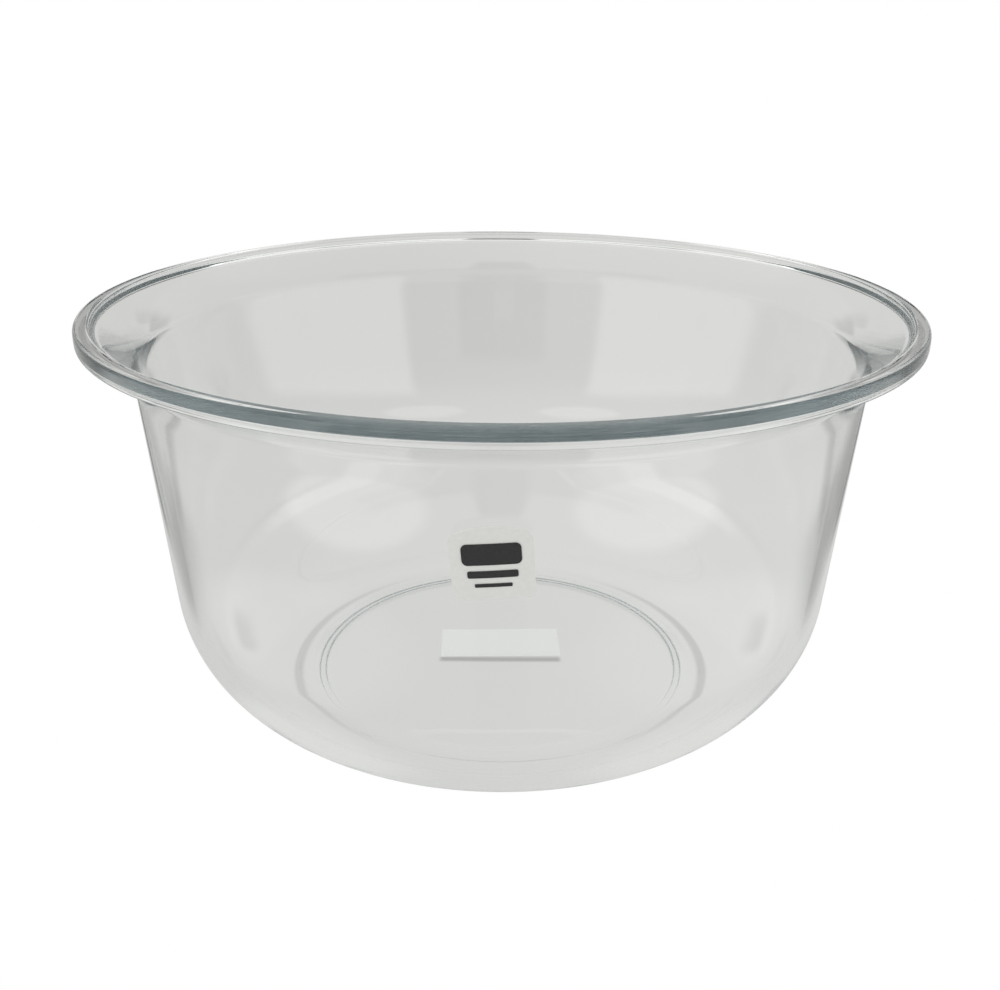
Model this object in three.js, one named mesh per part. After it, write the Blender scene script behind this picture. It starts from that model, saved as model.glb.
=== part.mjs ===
// A clear pressed-glass serving bowl with a flared lip and a thick rounded rim bead.
// Millimetres, +Z up. The origin is the centre of the foot, on the surface that the bowl stands on.
// The front of the bowl, where its label is, faces -Y.
import * as THREE from "three";

// Glass, overall
const RIM_DIAMETER = 240;
const HEIGHT = 122.3;
const WALL_THICKNESS = 4;
const WALL_TAPER = THREE.MathUtils.degToRad(4.7); // the wall's lean from upright
const SIDES = 72; // flats round the axis
const TOUCH = 1e-6; // profile points closer than this are one point

// Rim bead, a rounded square in section, and the lip that flares out to carry it
const BEAD_HEIGHT = 5.1;
const BEAD_WIDTH = 5;
const BEAD_SQUARENESS = 4.2; // 2 is an oval, more is squarer
const LIP_OVERHANG = 13.8; // the rim's reach past the outside of the wall
const LIP_THICKNESS = 2.6; // where it meets the bead
const LIP_DEPTH = 2.4; // from the rim's top down to the lip's middle, at the bead
const LIP_BEND_DEPTH = 8; // from the rim's top down to the corner that the lip's bend rounds off
const NECK_DEPTH = 14; // from the rim's top down to where the straight wall ends

// Rounded bottom, foot ring and the shallow recess inside it
const OUTER_CORNER_RADIUS = 42.2;
const INNER_CORNER_RADIUS = 38.2;
const FLOOR_THICKNESS = 3.2;
const FOOT_DIAMETER = 134;
const FOOT_EDGE = 1.2; // rounding of the foot ring's outer edge
const RECESS_DIAMETER = 117;
const RECESS_DEPTH = 0.8;
const RECESS_SLOPE = 0.9; // run of the recess's sloping edge

// Paper and film stickers
const ADHESIVE = 0.15; // clear gap that the glue fills
const LABEL_WIDTH = 19;
const LABEL_HEIGHT = 16.4; // at its two sides
const LABEL_ARCH = 2.2; // rise of its curved top edge
const LABEL_CORNER_RADIUS = 1.8;
const LABEL_THICKNESS = 0.15;
const LABEL_CENTRE_HEIGHT = 84.3;
const LABEL_OFFSET = -1.8; // to the left of the bowl's middle
const LABEL_TILT = THREE.MathUtils.degToRad(4);
const INK_THICKNESS = 0.1;
const INK_GAP = 0.05;
const BAND_WIDTH = 13.5;
const BAND_HEIGHT = 5.4;
const BAND_RISE = 3.4; // from the label's middle up to the band's middle
const RULE_WIDTHS = [11.5, 8.5];
const RULE_HEIGHTS = [1.8, 0.9];
const RULE_GAP = 1.5; // under the band, and between the rules
const STICKER_WIDTH = 40;
const STICKER_LENGTH = 18;
const STICKER_THICKNESS = 0.15;
const STICKER_OFFSET = 9; // behind the bowl's middle
const STICKER_TURN = THREE.MathUtils.degToRad(1.4);

const rimRadius = RIM_DIAMETER / 2;
const neckRadius = rimRadius - LIP_OVERHANG;
const neckHeight = HEIGHT - NECK_DEPTH;
const beadInside = rimRadius - BEAD_WIDTH;
const floorHeight = RECESS_DEPTH + FLOOR_THICKNESS;
const slope = Math.tan(WALL_TAPER);

// Radius of the wall's outside at a height, of its inside, and of the middle between them.
const outerWall = (z) => neckRadius - slope * (neckHeight - z);
const innerWall = (z) => outerWall(z) - WALL_THICKNESS / Math.cos(WALL_TAPER);
const wallMiddle = (z) => (outerWall(z) + innerWall(z)) / 2;

// Radius of the centre of an arc that joins a flat at height `flat` to a leaning wall.
const cornerCentre = (wall, flat, radius) => wall(flat + radius) - radius / Math.cos(WALL_TAPER);

// An arc in the section's plane, turning the short way from one angle to the other.
function arc(x, y, radius, start, end) {
  return new THREE.EllipseCurve(x, y, radius, radius, start, end, end < start);
}

// A point on the rim bead's section, by its angle from the bead's outermost point.
function beadPoint(angle) {
  const bulge = (value) => Math.sign(value) * Math.abs(value) ** (2 / BEAD_SQUARENESS);
  return new THREE.Vector2(
    rimRadius + (BEAD_WIDTH / 2) * (bulge(Math.cos(angle)) - 1),
    HEIGHT + (BEAD_HEIGHT / 2) * (bulge(Math.sin(angle)) - 1),
  );
}

// The angle at which the bead's inner side is at a height.
function beadAngle(height) {
  const up = (height - HEIGHT) / (BEAD_HEIGHT / 2) + 1;
  return Math.sign(up) * (Math.PI - Math.asin(Math.abs(up) ** (BEAD_SQUARENESS / 2)));
}

// Points up one side of the lip, from the neck to the bead. The lip thins evenly along a bent middle line.
// Side 1 is its underside and -1 its inside.
function lipSide(side, steps) {
  const bendHeight = HEIGHT - LIP_BEND_DEPTH;
  const start = new THREE.Vector2(wallMiddle(neckHeight), neckHeight);
  const corner = new THREE.Vector2(wallMiddle(bendHeight), bendHeight);
  const end = new THREE.Vector2(beadInside, HEIGHT - LIP_DEPTH);
  const intoBead = end.clone().sub(corner).setLength(LIP_THICKNESS);
  const middle = new THREE.QuadraticBezierCurve(start, corner, end.add(intoBead));
  const points = [];
  for (let i = 0; i <= steps; i++) {
    const t = i / steps;
    const along = middle.getTangent(t);
    const half = (side * THREE.MathUtils.lerp(WALL_THICKNESS, LIP_THICKNESS, t)) / 2;
    const point = middle.getPoint(t).add(new THREE.Vector2(half * along.y, -half * along.x));
    if (point.x > beadInside) {
      const last = points.at(-1);
      points.push(last.clone().lerp(point, (beadInside - last.x) / (point.x - last.x)));
      return points;
    }
    points.push(point);
  }
  return points;
}

// The glass's section, from the middle of the underside, out, up, over the rim and back down inside.
function bowlProfile() {
  const points = [new THREE.Vector2(0, RECESS_DEPTH)];
  const add = (point) => {
    if (point.distanceTo(points.at(-1)) > TOUCH) points.push(point);
  };
  const lineTo = (radius, height) => add(new THREE.Vector2(radius, height));
  const follow = (curve, steps) => curve.getPoints(steps).forEach(add);
  const roundBead = (start, end, steps) => {
    for (let i = 0; i <= steps; i++) add(beadPoint(THREE.MathUtils.lerp(start, end, i / steps)));
  };

  const footRadius = FOOT_DIAMETER / 2;
  const outerCentre = cornerCentre(outerWall, 0, OUTER_CORNER_RADIUS);
  const footAngle = -Math.acos((footRadius - outerCentre) / OUTER_CORNER_RADIUS);
  lineTo(RECESS_DIAMETER / 2 - RECESS_SLOPE, RECESS_DEPTH);
  lineTo(RECESS_DIAMETER / 2, 0);
  lineTo(footRadius - FOOT_EDGE, 0);
  follow(arc(outerCentre, OUTER_CORNER_RADIUS, OUTER_CORNER_RADIUS, footAngle, -WALL_TAPER), 12);

  const under = lipSide(1, 10);
  const inside = lipSide(-1, 10);
  under.slice(0, -1).forEach(add);
  roundBead(beadAngle(under.at(-1).y), 0, 8);
  roundBead(0, Math.PI / 2, 8);
  roundBead(Math.PI / 2, beadAngle(inside.at(-1).y), 5);
  inside.slice(0, -1).reverse().forEach(add);

  const innerCentre = cornerCentre(innerWall, floorHeight, INNER_CORNER_RADIUS);
  const innerMiddle = floorHeight + INNER_CORNER_RADIUS;
  follow(arc(innerCentre, innerMiddle, INNER_CORNER_RADIUS, -WALL_TAPER, -Math.PI / 2), 12);
  lineTo(0, floorHeight);
  return points;
}

function glassBowl() {
  const geometry = new THREE.LatheGeometry(bowlProfile(), SIDES);
  return geometry.rotateX(Math.PI / 2);
}

// A thin patch bent over the front of the leaning wall. Its middle is `rise` above the label's middle,
// its back is `standoff` off the glass, and its top edge rises by `arch` at mid-width.
function wallPatch({ width, height, thickness, standoff, rise = 0, arch = 0, corner = 0 }) {
  const columns = 16;
  const rows = 4;
  const geometry = new THREE.BoxGeometry(width, height, thickness, columns, rows, 1);
  const position = geometry.getAttribute("position");
  const half = width / 2;
  const centreRadius = outerWall(LABEL_CENTRE_HEIGHT);
  for (let i = 0; i < position.count; i++) {
    const across = half * Math.sin((Math.PI / 2) * (position.getX(i) / half)); // closer columns at the ends
    const past = Math.max(0, Math.abs(across) - (half - corner));
    const cut = corner - Math.sqrt(Math.max(0, corner * corner - past * past));
    const low = -height / 2 + cut;
    const high = height / 2 - cut + arch * (1 - (across / half) ** 2);
    const share = position.getY(i) / height + 0.5;
    const up = low + share * (high - low) + rise;

    const right = across * Math.cos(LABEL_TILT) - up * Math.sin(LABEL_TILT) + LABEL_OFFSET;
    const above = across * Math.sin(LABEL_TILT) + up * Math.cos(LABEL_TILT);
    const out = standoff + thickness / 2 + position.getZ(i);
    const angle = right / centreRadius;
    const wallHeight = LABEL_CENTRE_HEIGHT + above * Math.cos(WALL_TAPER);
    const radius = outerWall(wallHeight) + out * Math.cos(WALL_TAPER);
    const z = wallHeight - out * Math.sin(WALL_TAPER);
    position.setXYZ(i, radius * Math.sin(angle), -radius * Math.cos(angle), z);
  }
  return geometry;
}

function frontLabel() {
  return wallPatch({
    width: LABEL_WIDTH,
    height: LABEL_HEIGHT,
    thickness: LABEL_THICKNESS,
    standoff: ADHESIVE,
    arch: LABEL_ARCH,
    corner: LABEL_CORNER_RADIUS,
  });
}

// A plain printed bar with round corners, on the label's face.
function inkBar(width, height, rise) {
  return wallPatch({
    width,
    height,
    thickness: INK_THICKNESS,
    standoff: ADHESIVE + LABEL_THICKNESS + INK_GAP,
    rise,
    corner: height / 4,
  });
}

// A flat blank sticker under the floor, inside the foot's recess.
function baseSticker() {
  return new THREE.BoxGeometry(STICKER_WIDTH, STICKER_LENGTH, STICKER_THICKNESS);
}

const glass = new THREE.MeshStandardMaterial({
  color: 0xdfe4e2,
  roughness: 0.03,
  metalness: 0,
  transparent: true,
  opacity: 0.35,
});
const film = new THREE.MeshStandardMaterial({ color: 0xdededa, roughness: 0.45, metalness: 0 });
const ink = new THREE.MeshStandardMaterial({ color: 0x141516, roughness: 0.4, metalness: 0 });
const paper = new THREE.MeshStandardMaterial({ color: 0xf1f4f3, roughness: 0.8, metalness: 0 });

const bowl = new THREE.Group();
bowl.name = "serving_bowl";

function add(name, geometry, material) {
  const mesh = new THREE.Mesh(geometry, material);
  mesh.name = name;
  bowl.add(mesh);
  return mesh;
}

add("glass_bowl", glassBowl(), glass);
add("front_label", frontLabel(), film);
add("label_print_band", inkBar(BAND_WIDTH, BAND_HEIGHT, BAND_RISE), ink);
let ruleTop = BAND_RISE - BAND_HEIGHT / 2 - RULE_GAP;
RULE_WIDTHS.forEach((width, i) => {
  const height = RULE_HEIGHTS[i];
  add(`label_print_rule_${i + 1}`, inkBar(width, height, ruleTop - height / 2), ink);
  ruleTop -= height + RULE_GAP;
});
const sticker = add("base_sticker", baseSticker(), paper);
sticker.position.set(0, STICKER_OFFSET, RECESS_DEPTH - ADHESIVE - STICKER_THICKNESS / 2);
sticker.rotation.z = STICKER_TURN;

export default bowl;
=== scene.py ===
"""Clear glass serving bowl with two stickers, in a light tent, seen from the photograph's camera.

Metres, +Z up. The front of the bowl, where its label is, faces -Y.
"""
from math import acos, asin, copysign, cos, pi, radians, sin, sqrt, tan

import bpy
from mathutils import Matrix, Vector


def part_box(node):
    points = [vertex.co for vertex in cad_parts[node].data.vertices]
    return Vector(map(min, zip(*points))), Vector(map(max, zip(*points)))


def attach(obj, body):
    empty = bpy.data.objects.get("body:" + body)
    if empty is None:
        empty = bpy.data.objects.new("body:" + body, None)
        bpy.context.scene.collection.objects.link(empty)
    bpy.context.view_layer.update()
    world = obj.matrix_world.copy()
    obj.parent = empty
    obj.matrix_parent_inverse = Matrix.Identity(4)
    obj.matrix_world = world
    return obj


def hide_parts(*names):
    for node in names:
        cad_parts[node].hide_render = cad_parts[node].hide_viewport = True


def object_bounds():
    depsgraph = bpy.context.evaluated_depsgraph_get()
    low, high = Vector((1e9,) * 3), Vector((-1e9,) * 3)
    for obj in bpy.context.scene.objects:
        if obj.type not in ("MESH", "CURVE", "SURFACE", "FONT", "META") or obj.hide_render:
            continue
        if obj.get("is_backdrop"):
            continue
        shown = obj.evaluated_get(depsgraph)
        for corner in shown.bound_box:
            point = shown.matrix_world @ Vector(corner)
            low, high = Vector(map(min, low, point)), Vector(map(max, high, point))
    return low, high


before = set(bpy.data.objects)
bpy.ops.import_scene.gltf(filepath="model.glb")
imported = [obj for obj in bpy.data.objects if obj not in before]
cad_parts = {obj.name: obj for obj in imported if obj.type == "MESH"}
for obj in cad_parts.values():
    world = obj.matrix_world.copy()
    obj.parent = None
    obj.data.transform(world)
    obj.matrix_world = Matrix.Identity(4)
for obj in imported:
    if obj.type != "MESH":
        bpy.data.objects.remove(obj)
cad_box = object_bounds()

MM = 0.001
WHITE = (1, 1, 1, 1)

# Glass, overall: the rim and the height come from the frame
bowl_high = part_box("glass_bowl")[1]
RIM_RADIUS = bowl_high[0]
HEIGHT = bowl_high[2]
WALL_THICKNESS = 4.0 * MM
WALL_TAPER = radians(4.7)

# Rim bead, a rounded square in section, and the flared lip that carries it
BEAD_HEIGHT = 5.1 * MM
BEAD_WIDTH = 4.5 * MM
BEAD_SQUARENESS = 4.2
LIP_OVERHANG = 13.8 * MM
LIP_THICKNESS = 2.6 * MM
LIP_LEVEL = 2.4 * MM
LIP_BEND = 8.0 * MM
NECK_DEPTH = 14.0 * MM

# Rounded bottom, foot ring, and recess with a two-step edge
OUTER_CORNER_RADIUS = 42.2 * MM
INNER_CORNER_RADIUS = 38.2 * MM
FLOOR_THICKNESS = 3.2 * MM
FOOT_RADIUS = 67.0 * MM
FOOT_EDGE = 2.2 * MM
RECESS_RADIUS = 58.5 * MM
RECESS_DEPTH = 0.8 * MM
RECESS_FLAT_SHARE = 0.95
RECESS_STEPS = (-0.9 * MM, 1.1 * MM)
STEP_SLOPE = 0.8 * MM
STEP_BEND = STEP_SLOPE / 3

# Points along the glass's section, and round the bowl
SIDES = 256
FLAT_POINTS = 6
STEP_POINTS = 6
FOOT_POINTS = 8
CORNER_POINTS = 40
WALL_POINTS = 12
LIP_POINTS = 24
BEAD_POINTS = 64

# Film label on the front wall, and its plain print
ADHESIVE = 0.15 * MM
LABEL_WIDTH = 19.0 * MM
LABEL_HEIGHT = 16.4 * MM
LABEL_ARCH = 2.2 * MM
LABEL_CORNER = 1.8 * MM
LABEL_THICKNESS = 0.15 * MM
LABEL_CENTRE = 84.3 * MM
LABEL_OFFSET = -1.8 * MM
LABEL_TILT = radians(4)
LABEL_GRID = (64, 24)
INK_THICKNESS = 0.1 * MM
INK_GAP = 0.05 * MM
INK_CORNER_SHARE = 0.25
BAND_WIDTH = 13.5 * MM
BAND_HEIGHT = 5.4 * MM
BAND_RISE = 3.4 * MM
BAND_GRID = (64, 8)
RULE_WIDTHS = (11.5 * MM, 8.5 * MM)
RULE_HEIGHTS = (1.8 * MM, 0.9 * MM)
RULE_GAP = 1.5 * MM
RULE_GRID = (64, 4)

# Blank paper sticker under the floor
STICKER_WIDTH = 40.0 * MM
STICKER_LENGTH = 18.0 * MM
STICKER_THICKNESS = 0.15 * MM
STICKER_OFFSET = 9.0 * MM
STICKER_TURN = radians(1.4)
STICKER_CURL = 0.3 * MM
CURL_LENGTH = 3.0 * MM
STICKER_GRID = (40, 36)

# Glass as a material, with a fine ripple that runs up the wall
GLASS_IOR = 1.5
GLASS_TINT = (0.886, 0.9, 0.904, 1)
GLASS_DENSITY = 36
RIPPLE_STRETCH = (1, 1, 0.35)
RIPPLE_SCALE = 55
RIPPLE_STRENGTH = 0.3
RIPPLE_HEIGHT = 0.15 * MM

# Film, ink and paper: a pale and a dark tone, the speckle's scale, and the roughness
FILM_TONES = ((0.885, 0.885, 0.865), (0.845, 0.845, 0.825))
FILM_BACK = (0.3, 0.3, 0.3)
FILM_SCALE = 900
FILM_ROUGHNESS = 0.4
INK_TONES = ((0.024, 0.024, 0.026), (0.012, 0.012, 0.013))
INK_SCALE = 2500
INK_ROUGHNESS = 0.45
PAPER_TONES = ((0.93, 0.94, 0.94), (0.89, 0.905, 0.9))
PAPER_SCALE = 1600
PAPER_ROUGHNESS = 0.8
SPECKLE_DETAIL = 6
SPECKLE_STOPS = (0.3, 0.7)
SPECKLE_GRAIN = 0.08

# Camera, fitted to the photograph's outline
CAMERA_DISTANCE = 336.2 * MM
CAMERA_HEIGHT = 195.8 * MM
CAMERA_PITCH = radians(22.09)
CAMERA_YAW = radians(0.046)
CAMERA_ROLL = radians(0.28)
CAMERA_CLIP = 10 * MM
SENSOR_WIDTH = 36.0
LENS = 41.4
LIGHT_BOUNCES = 128

# Light tent, as radiance. Bearings are from the camera's side of the bowl, and reaches from its middle.
# An edge of an area is where it lies and how far it fades to each side.
# A pair of lights is for the left and the right.
LIGHT_TINT = (1.0, 1.006, 0.98, 1)
FRONT_LIGHT = 0.925
SIDE_BACK_LIGHT = 0.82
SIDE_BACK_EDGE = (radians(107), radians(17))
BACK_LIGHT = 0.68
BACK_EDGE = (radians(166), radians(3))
TOP_LIGHT = 0.97
TOP_EDGE = (radians(43), radians(5))

# Bright sweep at both sides, on the far floor and low on the tent
SWEEP_LIGHT = 1.5
SWEEP_TOP = (radians(8), radians(2))
SWEEP_FRONT = (radians(38), radians(3))
SWEEP_BACK = (radians(108), radians(6))
SWEEP_START = (0.36, 0.04)

# Dark stands behind the bowl, the dim room and the camera in front of it, and the tent's gap under them
STAND_LIGHT = 0.05
STAND_FRONT = (radians(150), radians(4))
STAND_BACK = (radians(164), radians(2))
STAND_FOOT = (radians(7), radians(2))
STAND_TOP = (radians(18.5), radians(5))
ROOM_LIGHT = 0.55
ROOM_SIDE = (radians(65), radians(6))
ROOM_FOOT = (radians(17), radians(3))
ROOM_TOP = (radians(35), radians(3))
CAMERA_SHADE_LIGHT = 0.25
CAMERA_SHADE_SIDE = (radians(13), radians(3))
CAMERA_SHADE_FOOT = (radians(27), radians(3))
CAMERA_SHADE_TOP = (radians(62), radians(4))
GAP_LIGHT = 0.2
GAP_SIDE = (radians(13), radians(5))
GAP_TOP = (radians(9), radians(3))

# Floor, white for the camera, that glows with painted light and shade for what the glass shows
FLOOR_RADIUS = 12.0
FLOOR_SIDES = 96
FLOOR_DROP = 0.2 * MM
FLOOR_LIGHTS = (0.655, 0.695)
FAR_FLOOR_LIGHTS = (0.618, 0.65)
FAR_FLOOR_EDGE = (0.3, 0.1)
LEFT_TO_RIGHT = (0.0, 0.1)
FRONT_FLOOR_LIGHT = 0.42
FRONT_FLOOR_START = (0.4, 0.06)
CORE_LIGHT = 0.05
CORE_SIDE = (radians(17), radians(2))
CORE_START = (0.62, 0.1)

# Ovals of light on the floor: a middle and half sizes, as bearing and reach, and the share that fades
CORNER_LIGHT = 0.74
CORNER_MIDDLE = (radians(42), 0.09)
CORNER_HALF_SIZE = (radians(24), 0.018)
CORNER_FADE = 0.4
LENS_LIGHT = 1.4
LENS_MIDDLE = (radians(36.5), 0.258)
LENS_HALF_SIZE = (radians(19), 0.03)
LENS_FADE = 0.15
POOL_LIGHT = 0.95
POOL_MIDDLE = (radians(50), 0.168)
POOL_HALF_SIZE = (radians(30), 0.034)
POOL_FADE = 0.3

# Dark strips of painted shade on the floor that give the wall its dark outlines.
# Their insides and outsides are angles seen from the camera's foot, and their fronts and backs are y.
NEAR_DARK_STRIP_LIGHT = 0.43
NEAR_DARK_STRIP_INSIDE = (radians(22), radians(1))
NEAR_DARK_STRIP_OUTSIDE = (radians(31.5), radians(2))
NEAR_DARK_STRIP_FRONT = (0.0, 0.02)
NEAR_DARK_STRIP_BACK = (0.09, 0.03)
DARK_STRIP_LIGHTS = (0.52, 0.43)
DARK_STRIP_LEFT_TO_RIGHT = (0.0, 0.01)
DARK_STRIP_INSIDE = (radians(21.5), radians(1))
DARK_STRIP_OUTSIDE = (radians(29), radians(2))
DARK_STRIP_FRONT = (0.08, 0.03)
DARK_STRIP_BACK = (0.32, 0.06)
DARK_STRIP_RIM_LIGHT = 0.15
DARK_STRIP_RIM_OUTSIDE = (radians(23.2), radians(0.6))

# Contact shadows on the floor, under the sticker's front edge, the foot ring and the recess's edge
STICKER_SHADE_LIGHT = 0.36
STICKER_SHADE_SIDE = (STICKER_WIDTH / 2, 1 * MM)
STICKER_SHADE_FRONT = (-2.4 * MM, 1 * MM)
STICKER_SHADE_BACK = (0.4 * MM, 1 * MM)
FOOT_SHADE_LIGHT = 0.5
FOOT_SHADE_MIDDLE = (pi / 2, FOOT_RADIUS)
FOOT_SHADE_HALF_SIZE = (radians(45), 1.6 * MM)
RECESS_SHADE_LIGHT = 0.57
RECESS_SHADE_MIDDLE = (pi, RECESS_RADIUS)
RECESS_SHADE_HALF_SIZE = (radians(85), 2.2 * MM)
RING_SHADE_FADE = 0.5

NECK_RADIUS = RIM_RADIUS - LIP_OVERHANG
NECK_HEIGHT = HEIGHT - NECK_DEPTH
FLOOR_HEIGHT = RECESS_DEPTH + FLOOR_THICKNESS


def outer_wall(z):
    return NECK_RADIUS - tan(WALL_TAPER) * (NECK_HEIGHT - z)


def inner_wall(z):
    return outer_wall(z) - WALL_THICKNESS / cos(WALL_TAPER)


def wall_middle(z):
    return (outer_wall(z) + inner_wall(z)) / 2


def corner_centre(wall, flat, radius):
    return wall(flat + radius) - radius / cos(WALL_TAPER)


def arc(centre, radius, start, end, steps):
    """Points on an arc, without its first one."""
    points = []
    for i in range(1, steps + 1):
        angle = start + (end - start) * i / steps
        points.append((centre[0] + radius * cos(angle), centre[1] + radius * sin(angle)))
    return points


def bend(start, control, end, steps):
    """Points on a quadratic curve, without its first one."""
    points = []
    for i in range(1, steps + 1):
        t = i / steps
        a, b, c = (1 - t) ** 2, 2 * t * (1 - t), t ** 2
        points.append(tuple(a * p + b * q + c * r for p, q, r in zip(start, control, end)))
    return points


def bead_section(start, end, steps):
    """Points round the rim bead's rounded-square section, by angle from its outermost point."""
    points = []
    for i in range(steps + 1):
        angle = start + (end - start) * i / steps
        across = copysign(abs(cos(angle)) ** (2 / BEAD_SQUARENESS), cos(angle))
        up = copysign(abs(sin(angle)) ** (2 / BEAD_SQUARENESS), sin(angle))
        points.append((RIM_RADIUS + BEAD_WIDTH / 2 * (across - 1), HEIGHT + BEAD_HEIGHT / 2 * (up - 1)))
    return points


def bead_angle(z):
    """The angle at which the bead's inner side has a height."""
    up = (z - HEIGHT) / (BEAD_HEIGHT / 2) + 1
    return copysign(pi - asin(abs(up) ** (BEAD_SQUARENESS / 2)), up)


def lip_side(side, steps):
    """Points up one side of the flared lip: side +1 is under it, and -1 on it.

    The lip is bent about its middle line, which runs on into the bead.
    """
    bend_height = HEIGHT - LIP_BEND
    end_radius = RIM_RADIUS - BEAD_WIDTH
    start = Vector((wall_middle(NECK_HEIGHT), NECK_HEIGHT))
    corner = Vector((wall_middle(bend_height), bend_height))
    end = Vector((end_radius, HEIGHT - LIP_LEVEL))
    reach = end + (end - corner) * (LIP_THICKNESS / (end - corner).length)
    points = []
    for i in range(steps + 1):
        t = i / steps
        middle = start * (1 - t) ** 2 + corner * 2 * t * (1 - t) + reach * t ** 2
        along = ((corner - start) * (1 - t) + (reach - corner) * t).normalized()
        half = side * (WALL_THICKNESS + (LIP_THICKNESS - WALL_THICKNESS) * t) / 2
        radius = middle[0] + half * along[1]
        height = middle[1] - half * along[0]
        if radius > end_radius:
            share = (end_radius - points[-1][0]) / (radius - points[-1][0])
            points.append((end_radius, points[-1][1] + share * (height - points[-1][1])))
            break
        points.append((radius, height))
    return points


def underside():
    """The section from the underside's middle, over the recess's edge and the foot ring, to the wall."""
    centre = corner_centre(outer_wall, 0, OUTER_CORNER_RADIUS)
    foot_angle = -acos((FOOT_RADIUS - centre) / OUTER_CORNER_RADIUS)
    foot_top = OUTER_CORNER_RADIUS * (1 + sin(foot_angle))
    points = [(0, RECESS_DEPTH)]
    flat_radius = RECESS_RADIUS * RECESS_FLAT_SHARE
    for i in range(1, FLAT_POINTS + 1):
        points.append((flat_radius * i / FLAT_POINTS, RECESS_DEPTH))
    drop = RECESS_DEPTH / len(RECESS_STEPS)
    for offset in RECESS_STEPS:
        middle = RECESS_RADIUS + offset
        height = points[-1][1]
        halfway = height - drop / 2
        low = height - drop
        points.append((middle - STEP_SLOPE, height))
        points += bend(points[-1], (middle - STEP_BEND, height), (middle, halfway), STEP_POINTS)
        points += bend(points[-1], (middle + STEP_BEND, low), (middle + STEP_SLOPE, low), STEP_POINTS)
    points.append((FOOT_RADIUS - 2 * FOOT_EDGE, 0))
    points += bend(points[-1], (FOOT_RADIUS - FOOT_EDGE, 0), (FOOT_RADIUS, foot_top), FOOT_POINTS)
    points += arc(
        (centre, OUTER_CORNER_RADIUS), OUTER_CORNER_RADIUS, foot_angle, -WALL_TAPER, CORNER_POINTS
    )
    return points


def bowl_profile():
    """The glass's section as (radius, height), from the underside's middle to the floor's middle."""
    points = underside()
    under = lip_side(1, LIP_POINTS)
    inside = lip_side(-1, LIP_POINTS)
    outer_low = points[-1][1]
    for i in range(1, WALL_POINTS):
        z = outer_low + (under[0][1] - outer_low) * i / WALL_POINTS
        points.append((outer_wall(z), z))
    points += under[:-1]
    points += bead_section(bead_angle(under[-1][1]), bead_angle(inside[-1][1]), BEAD_POINTS)
    points += inside[-2::-1]
    centre = (
        corner_centre(inner_wall, FLOOR_HEIGHT, INNER_CORNER_RADIUS),
        FLOOR_HEIGHT + INNER_CORNER_RADIUS,
    )
    inner_low = centre[1] - INNER_CORNER_RADIUS * sin(WALL_TAPER)
    for i in range(1, WALL_POINTS + 1):
        z = inside[0][1] + (inner_low - inside[0][1]) * i / WALL_POINTS
        points.append((inner_wall(z), z))
    points += arc(centre, INNER_CORNER_RADIUS, -WALL_TAPER, -pi / 2, CORNER_POINTS)
    floor_radius = points[-1][0]
    for i in range(1, FLAT_POINTS):
        points.append((floor_radius * (1 - i / FLAT_POINTS), FLOOR_HEIGHT))
    points.append((0, FLOOR_HEIGHT))
    return points


def new_piece(name, verts, faces):
    mesh = bpy.data.meshes.new(name)
    mesh.from_pydata(verts, [], faces)
    mesh.validate()
    piece = bpy.data.objects.new(name, mesh)
    bpy.context.collection.objects.link(piece)
    return piece


def revolve(name, profile):
    """A smooth closed body of revolution. The profile starts and ends on the axis."""
    ring = profile[1:-1]
    verts = [(0, 0, profile[0][1])]
    for radius, height in ring:
        for i in range(SIDES):
            angle = 2 * pi * i / SIDES
            verts.append((radius * sin(angle), -radius * cos(angle), height))
    verts.append((0, 0, profile[-1][1]))
    faces = []
    last = len(verts) - 1
    for i in range(SIDES):
        j = (i + 1) % SIDES
        faces.append((0, 1 + j, 1 + i))
        for k in range(len(ring) - 1):
            a, b = 1 + k * SIDES, 1 + (k + 1) * SIDES
            faces.append((a + i, a + j, b + j, b + i))
        top = 1 + (len(ring) - 1) * SIDES
        faces.append((top + i, top + j, last))
    piece = new_piece(name, verts, faces)
    for polygon in piece.data.polygons:
        polygon.use_smooth = True
    return piece


def sheet(name, place, columns, rows):
    """A thin closed piece. `place(u, v, side)` gives a point of its back, side 0, or face, side 1."""
    verts = []
    for side in (0, 1):
        for j in range(rows + 1):
            for i in range(columns + 1):
                verts.append(place(i / columns, j / rows, side))

    def at(side, i, j):
        return (side * (rows + 1) + j) * (columns + 1) + i

    faces = []
    for j in range(rows):
        for i in range(columns):
            for side in (0, 1):
                low = (at(side, i, j), at(side, i + 1, j))
                high = (at(side, i + 1, j + 1), at(side, i, j + 1))
                corners = low + high
                faces.append(corners if side else corners[::-1])
    for i in range(columns):
        faces.append((at(0, i, 0), at(0, i + 1, 0), at(1, i + 1, 0), at(1, i, 0)))
        faces.append((at(1, i, rows), at(1, i + 1, rows), at(0, i + 1, rows), at(0, i, rows)))
    end = columns
    for j in range(rows):
        faces.append((at(1, 0, j), at(1, 0, j + 1), at(0, 0, j + 1), at(0, 0, j)))
        faces.append((at(0, end, j), at(0, end, j + 1), at(1, end, j + 1), at(1, end, j)))
    return new_piece(name, verts, faces)


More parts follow.
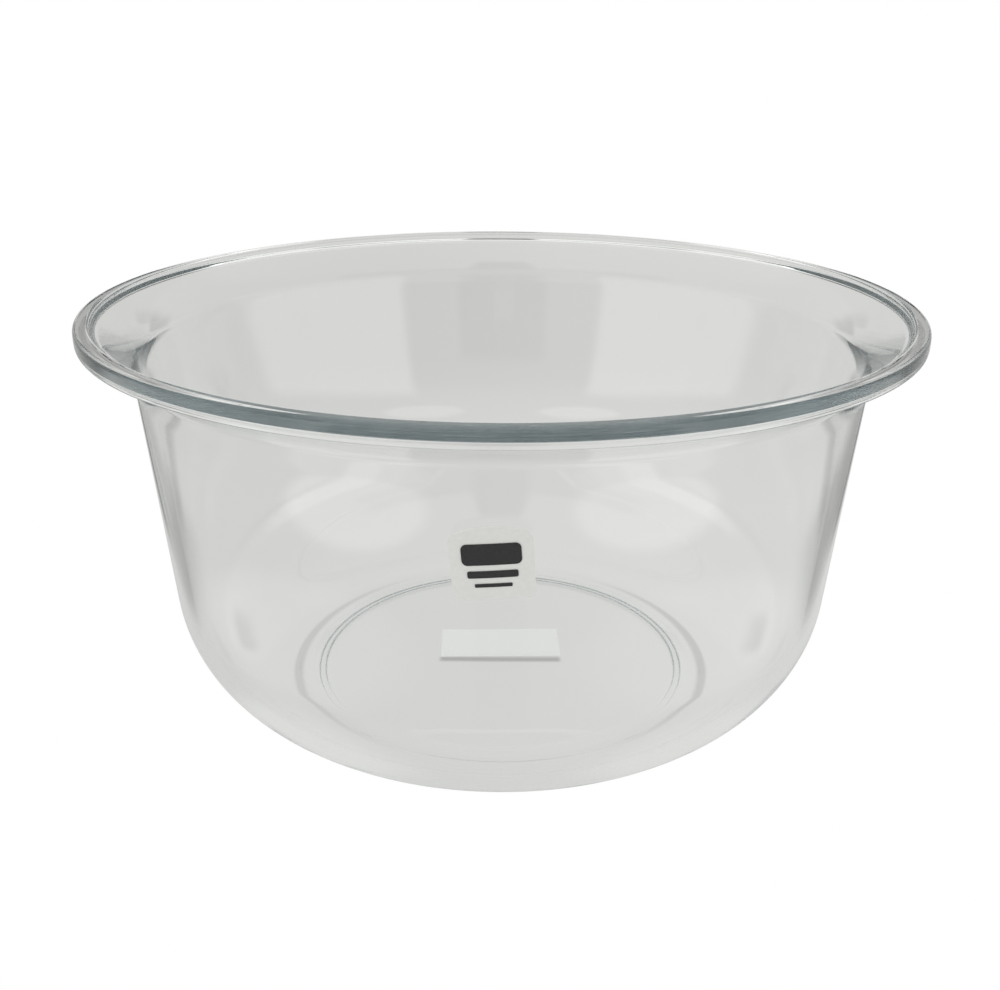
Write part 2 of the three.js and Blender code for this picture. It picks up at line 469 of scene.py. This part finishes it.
def on_wall(width, height, thickness, standoff, rise=0, arch=0, corner=0):
    """Places a thin patch on the front wall, with its middle `rise` above the label's middle."""
    half = width / 2
    centre_radius = outer_wall(LABEL_CENTRE)

    def place(u, v, side):
        across = half * sin(pi / 2 * (2 * u - 1))
        past = max(0, abs(across) - (half - corner))
        cut = corner - sqrt(max(0, corner ** 2 - past ** 2))
        low = cut - height / 2
        high = height / 2 - cut + arch * (1 - (across / half) ** 2)
        up = low + v * (high - low) + rise
        right = across * cos(LABEL_TILT) - up * sin(LABEL_TILT) + LABEL_OFFSET
        above = across * sin(LABEL_TILT) + up * cos(LABEL_TILT)
        out = standoff + thickness * side
        angle = right / centre_radius
        wall_height = LABEL_CENTRE + above * cos(WALL_TAPER)
        radius = outer_wall(wall_height) + out * cos(WALL_TAPER)
        return (radius * sin(angle), -radius * cos(angle), wall_height - out * sin(WALL_TAPER))

    return place


def under_floor(u, v, side):
    """Places the sticker under the floor. Its front edge curls down a little, away from the glass."""
    x = (u - 0.5) * STICKER_WIDTH
    y = (v - 0.5) * STICKER_LENGTH
    past = max(0, 1 - v * STICKER_LENGTH / CURL_LENGTH)
    z = RECESS_DEPTH - ADHESIVE - STICKER_THICKNESS * (1 - side) - STICKER_CURL * past ** 2
    turned_x = x * cos(STICKER_TURN) - y * sin(STICKER_TURN)
    turned_y = x * sin(STICKER_TURN) + y * cos(STICKER_TURN)
    return (turned_x, turned_y + STICKER_OFFSET, z)


def new_material(name):
    material = bpy.data.materials.new(name)
    material.use_nodes = True
    nodes = material.node_tree.nodes
    return material, nodes, material.node_tree.links, nodes["Principled BSDF"]


def glass_material():
    material, nodes, links, shader = new_material("clear_glass")
    shader.inputs["Base Color"].default_value = WHITE
    shader.inputs["Transmission Weight"].default_value = 1
    shader.inputs["IOR"].default_value = GLASS_IOR
    shader.inputs["Roughness"].default_value = 0.0
    where = nodes.new("ShaderNodeTexCoord")
    stretch = nodes.new("ShaderNodeMapping")
    stretch.inputs["Scale"].default_value = RIPPLE_STRETCH
    links.new(where.outputs["Object"], stretch.inputs["Vector"])
    waves = nodes.new("ShaderNodeTexNoise")
    waves.inputs["Scale"].default_value = RIPPLE_SCALE
    waves.inputs["Detail"].default_value = 0
    links.new(stretch.outputs["Vector"], waves.inputs["Vector"])
    ripple = nodes.new("ShaderNodeBump")
    ripple.inputs["Strength"].default_value = RIPPLE_STRENGTH
    ripple.inputs["Distance"].default_value = RIPPLE_HEIGHT
    links.new(waves.outputs["Fac"], ripple.inputs["Height"])
    links.new(ripple.outputs["Normal"], shader.inputs["Normal"])
    absorb = nodes.new("ShaderNodeVolumeAbsorption")
    absorb.inputs["Color"].default_value = GLASS_TINT
    absorb.inputs["Density"].default_value = GLASS_DENSITY
    links.new(absorb.outputs["Volume"], nodes["Material Output"].inputs["Volume"])
    return material


def speckled(name, tones, scale, roughness, back=None):
    """A matt surface whose colour drifts between two tones, with a fine grain in its roughness.

    Faces that look away from the front can have a colour of their own.
    """
    material, nodes, links, shader = new_material(name)
    where = nodes.new("ShaderNodeTexCoord")
    noise = nodes.new("ShaderNodeTexNoise")
    noise.inputs["Scale"].default_value = scale
    noise.inputs["Detail"].default_value = SPECKLE_DETAIL
    links.new(where.outputs["Object"], noise.inputs["Vector"])
    ramp = nodes.new("ShaderNodeValToRGB")
    for stop, position, tone in zip(ramp.color_ramp.elements, SPECKLE_STOPS, reversed(tones)):
        stop.position = position
        stop.color = (*tone, 1)
    links.new(noise.outputs["Fac"], ramp.inputs["Fac"])
    colour = ramp.outputs["Color"]
    if back:
        facing = nodes.new("ShaderNodeSeparateXYZ")
        links.new(where.outputs["Normal"], facing.inputs[0])
        choice = nodes.new("ShaderNodeMix")
        choice.data_type = "RGBA"
        links.new(facing.outputs["Y"], choice.inputs["Factor"])
        links.new(colour, choice.inputs["A"])
        choice.inputs["B"].default_value = (*back, 1)
        colour = choice.outputs["Result"]
    links.new(colour, shader.inputs["Base Color"])
    grain = nodes.new("ShaderNodeMapRange")
    grain.inputs["To Min"].default_value = roughness - SPECKLE_GRAIN
    grain.inputs["To Max"].default_value = roughness + SPECKLE_GRAIN
    links.new(noise.outputs["Fac"], grain.inputs["Value"])
    links.new(grain.outputs["Result"], shader.inputs["Roughness"])
    return material


class Graph:
    """Short names for building a tree of shader nodes."""

    def __init__(self, tree):
        self.nodes = tree.nodes
        self.links = tree.links
        self.nodes.clear()

    def put(self, value, socket):
        if isinstance(value, (int, float, tuple)):
            socket.default_value = value
        else:
            self.links.new(value, socket)

    def math(self, operation, a, b=0.0):
        node = self.nodes.new("ShaderNodeMath")
        node.operation = operation
        self.put(a, node.inputs[0])
        self.put(b, node.inputs[1])
        return node.outputs[0]

    def rise(self, value, middle, spread):
        """0 well below the middle value and 1 well above it."""
        node = self.nodes.new("ShaderNodeMapRange")
        node.interpolation_type = "SMOOTHSTEP"
        self.put(value, node.inputs["Value"])
        node.inputs["From Min"].default_value = middle - spread
        node.inputs["From Max"].default_value = middle + spread
        return node.outputs["Result"]

    def fall(self, value, middle, spread):
        """1 well below the middle value and 0 well above it."""
        return self.math("SUBTRACT", 1.0, self.rise(value, middle, spread))

    def both(self, *shares):
        product = shares[0]
        for share in shares[1:]:
            product = self.math("MULTIPLY", product, share)
        return product

    def mix(self, share, a, b):
        node = self.nodes.new("ShaderNodeMix")
        self.put(share, node.inputs[0])
        self.put(a, node.inputs[2])
        self.put(b, node.inputs[3])
        return node.outputs[0]

    def split(self, coordinate):
        """The three parts of a texture coordinate."""
        where = self.nodes.new("ShaderNodeTexCoord")
        node = self.nodes.new("ShaderNodeSeparateXYZ")
        self.put(where.outputs[coordinate], node.inputs[0])
        return node.outputs

    def bearing(self, x, y):
        return self.math("ARCTAN2", self.math("ABSOLUTE", x), self.math("MULTIPLY", y, -1.0))

    def length(self, x, y):
        squares = self.math("ADD", self.math("POWER", x, 2.0), self.math("POWER", y, 2.0))
        return self.math("SQRT", squares)

    def oval(self, across, along, middle, half_size, fade):
        """1 inside an oval in two measures, and 0 outside it."""
        u = self.math("DIVIDE", self.math("SUBTRACT", across, middle[0]), half_size[0])
        v = self.math("DIVIDE", self.math("SUBTRACT", along, middle[1]), half_size[1])
        return self.fall(self.length(u, v), 1.0, fade)

    def glow(self, kind, strength, output):
        """White for the camera, and the tent's light for what the glass shows."""
        shades = []
        for value, colour in ((strength, LIGHT_TINT), (1.0, WHITE)):
            node = self.nodes.new(kind)
            node.inputs["Color"].default_value = colour
            self.put(value, node.inputs["Strength"])
            shades.append(node.outputs[0])
        path = self.nodes.new("ShaderNodeLightPath")
        choice = self.nodes.new("ShaderNodeMixShader")
        self.put(path.outputs["Is Camera Ray"], choice.inputs[0])
        self.put(shades[0], choice.inputs[1])
        self.put(shades[1], choice.inputs[2])
        self.put(choice.outputs[0], self.nodes.new(output).inputs["Surface"])


def tent_world():
    world = bpy.data.worlds.new("light_tent")
    bpy.context.scene.world = world
    world.use_nodes = True
    graph = Graph(world.node_tree)
    x, y, z = graph.split("Generated")
    bearing = graph.bearing(x, y)
    height = graph.math("ARCSINE", z)

    light = graph.mix(graph.rise(bearing, *SIDE_BACK_EDGE), FRONT_LIGHT, SIDE_BACK_LIGHT)
    light = graph.mix(graph.rise(bearing, *BACK_EDGE), light, BACK_LIGHT)
    light = graph.mix(graph.rise(height, *TOP_EDGE), light, TOP_LIGHT)
    sweep = graph.both(
        graph.fall(height, *SWEEP_TOP),
        graph.rise(bearing, *SWEEP_FRONT),
        graph.fall(bearing, *SWEEP_BACK),
    )
    light = graph.mix(sweep, light, SWEEP_LIGHT)
    stand = graph.both(
        graph.rise(bearing, *STAND_FRONT),
        graph.fall(bearing, *STAND_BACK),
        graph.rise(height, *STAND_FOOT),
        graph.fall(height, *STAND_TOP),
    )
    light = graph.mix(stand, light, STAND_LIGHT)
    room = graph.both(
        graph.fall(bearing, *ROOM_SIDE),
        graph.rise(height, *ROOM_FOOT),
        graph.fall(height, *ROOM_TOP),
    )
    light = graph.mix(room, light, ROOM_LIGHT)
    camera_shade = graph.both(
        graph.fall(bearing, *CAMERA_SHADE_SIDE),
        graph.rise(height, *CAMERA_SHADE_FOOT),
        graph.fall(height, *CAMERA_SHADE_TOP),
    )
    light = graph.mix(camera_shade, light, CAMERA_SHADE_LIGHT)
    gap = graph.both(graph.fall(bearing, *GAP_SIDE), graph.fall(height, *GAP_TOP))
    light = graph.mix(gap, light, GAP_LIGHT)
    graph.glow("ShaderNodeBackground", light, "ShaderNodeOutputWorld")


def floor_material():
    material = bpy.data.materials.new("floor_painted_light")
    material.use_nodes = True
    graph = Graph(material.node_tree)
    x, y = graph.split("Object")[:2]
    side = graph.math("ABSOLUTE", x)
    bearing = graph.bearing(x, y)
    reach = graph.length(x, y)
    from_camera = graph.math("ARCTAN2", side, graph.math("ADD", y, CAMERA_DISTANCE))

    # Painted light: for what the glass shows, the floor glows with the tent's light. It is darker at the
    # front and the core, with painted ovals and a sweep of light.
    to_right = graph.rise(x, *LEFT_TO_RIGHT)
    near_light = graph.mix(to_right, *FLOOR_LIGHTS)
    far_light = graph.mix(to_right, *FAR_FLOOR_LIGHTS)
    light = graph.mix(graph.rise(reach, *FAR_FLOOR_EDGE), near_light, far_light)
    corner = graph.oval(bearing, reach, CORNER_MIDDLE, CORNER_HALF_SIZE, CORNER_FADE)
    light = graph.mix(corner, light, CORNER_LIGHT)
    sweep = graph.both(
        graph.rise(reach, *SWEEP_START),
        graph.rise(bearing, *SWEEP_FRONT),
        graph.fall(bearing, *SWEEP_BACK),
    )
    light = graph.mix(sweep, light, SWEEP_LIGHT)
    front = graph.both(graph.rise(reach, *FRONT_FLOOR_START), graph.fall(bearing, *SWEEP_FRONT))
    light = graph.mix(front, light, FRONT_FLOOR_LIGHT)
    core = graph.both(graph.rise(reach, *CORE_START), graph.fall(bearing, *CORE_SIDE))
    light = graph.mix(core, light, CORE_LIGHT)
    lens = graph.oval(bearing, reach, LENS_MIDDLE, LENS_HALF_SIZE, LENS_FADE)
    light = graph.mix(lens, light, LENS_LIGHT)
    pool = graph.oval(bearing, reach, POOL_MIDDLE, POOL_HALF_SIZE, POOL_FADE)
    light = graph.mix(pool, light, POOL_LIGHT)

    # Painted shade: dark strips in the floor's glow at each side, darkest along their inner edge.
    near_dark_strip = graph.both(
        graph.rise(from_camera, *NEAR_DARK_STRIP_INSIDE),
        graph.fall(from_camera, *NEAR_DARK_STRIP_OUTSIDE),
        graph.rise(y, *NEAR_DARK_STRIP_FRONT),
        graph.fall(y, *NEAR_DARK_STRIP_BACK),
    )
    light = graph.mix(near_dark_strip, light, NEAR_DARK_STRIP_LIGHT)
    dark_strip = graph.both(
        graph.rise(from_camera, *DARK_STRIP_INSIDE),
        graph.fall(from_camera, *DARK_STRIP_OUTSIDE),
        graph.rise(y, *DARK_STRIP_FRONT),
        graph.fall(y, *DARK_STRIP_BACK),
    )
    dark_strip_light = graph.mix(graph.rise(x, *DARK_STRIP_LEFT_TO_RIGHT), *DARK_STRIP_LIGHTS)
    light = graph.mix(dark_strip, light, dark_strip_light)
    dark_strip_rim = graph.both(dark_strip, graph.fall(from_camera, *DARK_STRIP_RIM_OUTSIDE))
    light = graph.mix(dark_strip_rim, light, DARK_STRIP_RIM_LIGHT)

    sticker_shade = graph.both(
        graph.fall(side, *STICKER_SHADE_SIDE),
        graph.rise(y, *STICKER_SHADE_FRONT),
        graph.fall(y, *STICKER_SHADE_BACK),
    )
    light = graph.mix(sticker_shade, light, STICKER_SHADE_LIGHT)
    foot_shade = graph.oval(bearing, reach, FOOT_SHADE_MIDDLE, FOOT_SHADE_HALF_SIZE, RING_SHADE_FADE)
    light = graph.mix(foot_shade, light, FOOT_SHADE_LIGHT)
    recess_shade = graph.oval(
        bearing, reach, RECESS_SHADE_MIDDLE, RECESS_SHADE_HALF_SIZE, RING_SHADE_FADE
    )
    light = graph.mix(recess_shade, light, RECESS_SHADE_LIGHT)
    graph.glow("ShaderNodeEmission", light, "ShaderNodeOutputMaterial")
    return material


def tent_floor():
    bpy.ops.mesh.primitive_circle_add(
        vertices=FLOOR_SIDES, radius=FLOOR_RADIUS, fill_type="NGON", location=(0, 0, -FLOOR_DROP)
    )
    floor = bpy.context.object
    floor.name = "floor"
    floor.data.materials.append(floor_material())
    floor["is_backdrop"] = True


def photo_camera():
    data = bpy.data.cameras.new("photo_camera")
    data.sensor_width = SENSOR_WIDTH
    data.sensor_fit = "HORIZONTAL"
    data.lens = LENS
    data.clip_start = CAMERA_CLIP
    camera = bpy.data.objects.new("photo_camera", data)
    bpy.context.collection.objects.link(camera)
    aim = Matrix.Rotation(CAMERA_YAW, 4, "Z") @ Matrix.Rotation(pi / 2 - CAMERA_PITCH, 4, "X")
    turn = aim @ Matrix.Rotation(CAMERA_ROLL, 4, "Z")
    camera.matrix_world = Matrix.Translation((0, -CAMERA_DISTANCE, CAMERA_HEIGHT)) @ turn
    bpy.context.scene.camera = camera


def dress(piece, material, node):
    """Gives a piece its material and puts it in the place of a CAD node."""
    piece.data.materials.append(material)
    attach(piece, "root")
    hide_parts(node)


photo_camera()
tent_world()
tent_floor()

dress(revolve("bowl_glass", bowl_profile()), glass_material(), "glass_bowl")

film = speckled("label_film", FILM_TONES, FILM_SCALE, FILM_ROUGHNESS, back=FILM_BACK)
label = on_wall(
    LABEL_WIDTH, LABEL_HEIGHT, LABEL_THICKNESS, ADHESIVE, arch=LABEL_ARCH, corner=LABEL_CORNER
)
dress(sheet("label", label, *LABEL_GRID), film, "front_label")

ink = speckled("black_ink", INK_TONES, INK_SCALE, INK_ROUGHNESS)
ink_off = ADHESIVE + LABEL_THICKNESS + INK_GAP
band_corner = BAND_HEIGHT * INK_CORNER_SHARE
band = on_wall(BAND_WIDTH, BAND_HEIGHT, INK_THICKNESS, ink_off, rise=BAND_RISE, corner=band_corner)
dress(sheet("print_band", band, *BAND_GRID), ink, "label_print_band")
rule_top = BAND_RISE - BAND_HEIGHT / 2 - RULE_GAP
for i, (width, height) in enumerate(zip(RULE_WIDTHS, RULE_HEIGHTS), 1):
    rule_middle = rule_top - height / 2
    rule_corner = height * INK_CORNER_SHARE
    rule = on_wall(width, height, INK_THICKNESS, ink_off, rise=rule_middle, corner=rule_corner)
    dress(sheet(f"print_rule_{i}", rule, *RULE_GRID), ink, f"label_print_rule_{i}")
    rule_top -= height + RULE_GAP

paper = speckled("blank_paper", PAPER_TONES, PAPER_SCALE, PAPER_ROUGHNESS)
dress(sheet("sticker", under_floor, *STICKER_GRID), paper, "base_sticker")

scene = bpy.context.scene
scene.view_settings.view_transform = "Standard"
scene.cycles.max_bounces = LIGHT_BOUNCES
scene.cycles.transmission_bounces = LIGHT_BOUNCES
scene.cycles.glossy_bounces = LIGHT_BOUNCES
scene.cycles.blur_glossy = 0
scene.cycles.caustics_refractive = True
scene.cycles.caustics_reflective = True
scene.cycles.use_denoising = True

boxes = {"cad": cad_box, "visual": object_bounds()}
{name: [list(corner) for corner in box] for name, box in boxes.items()}
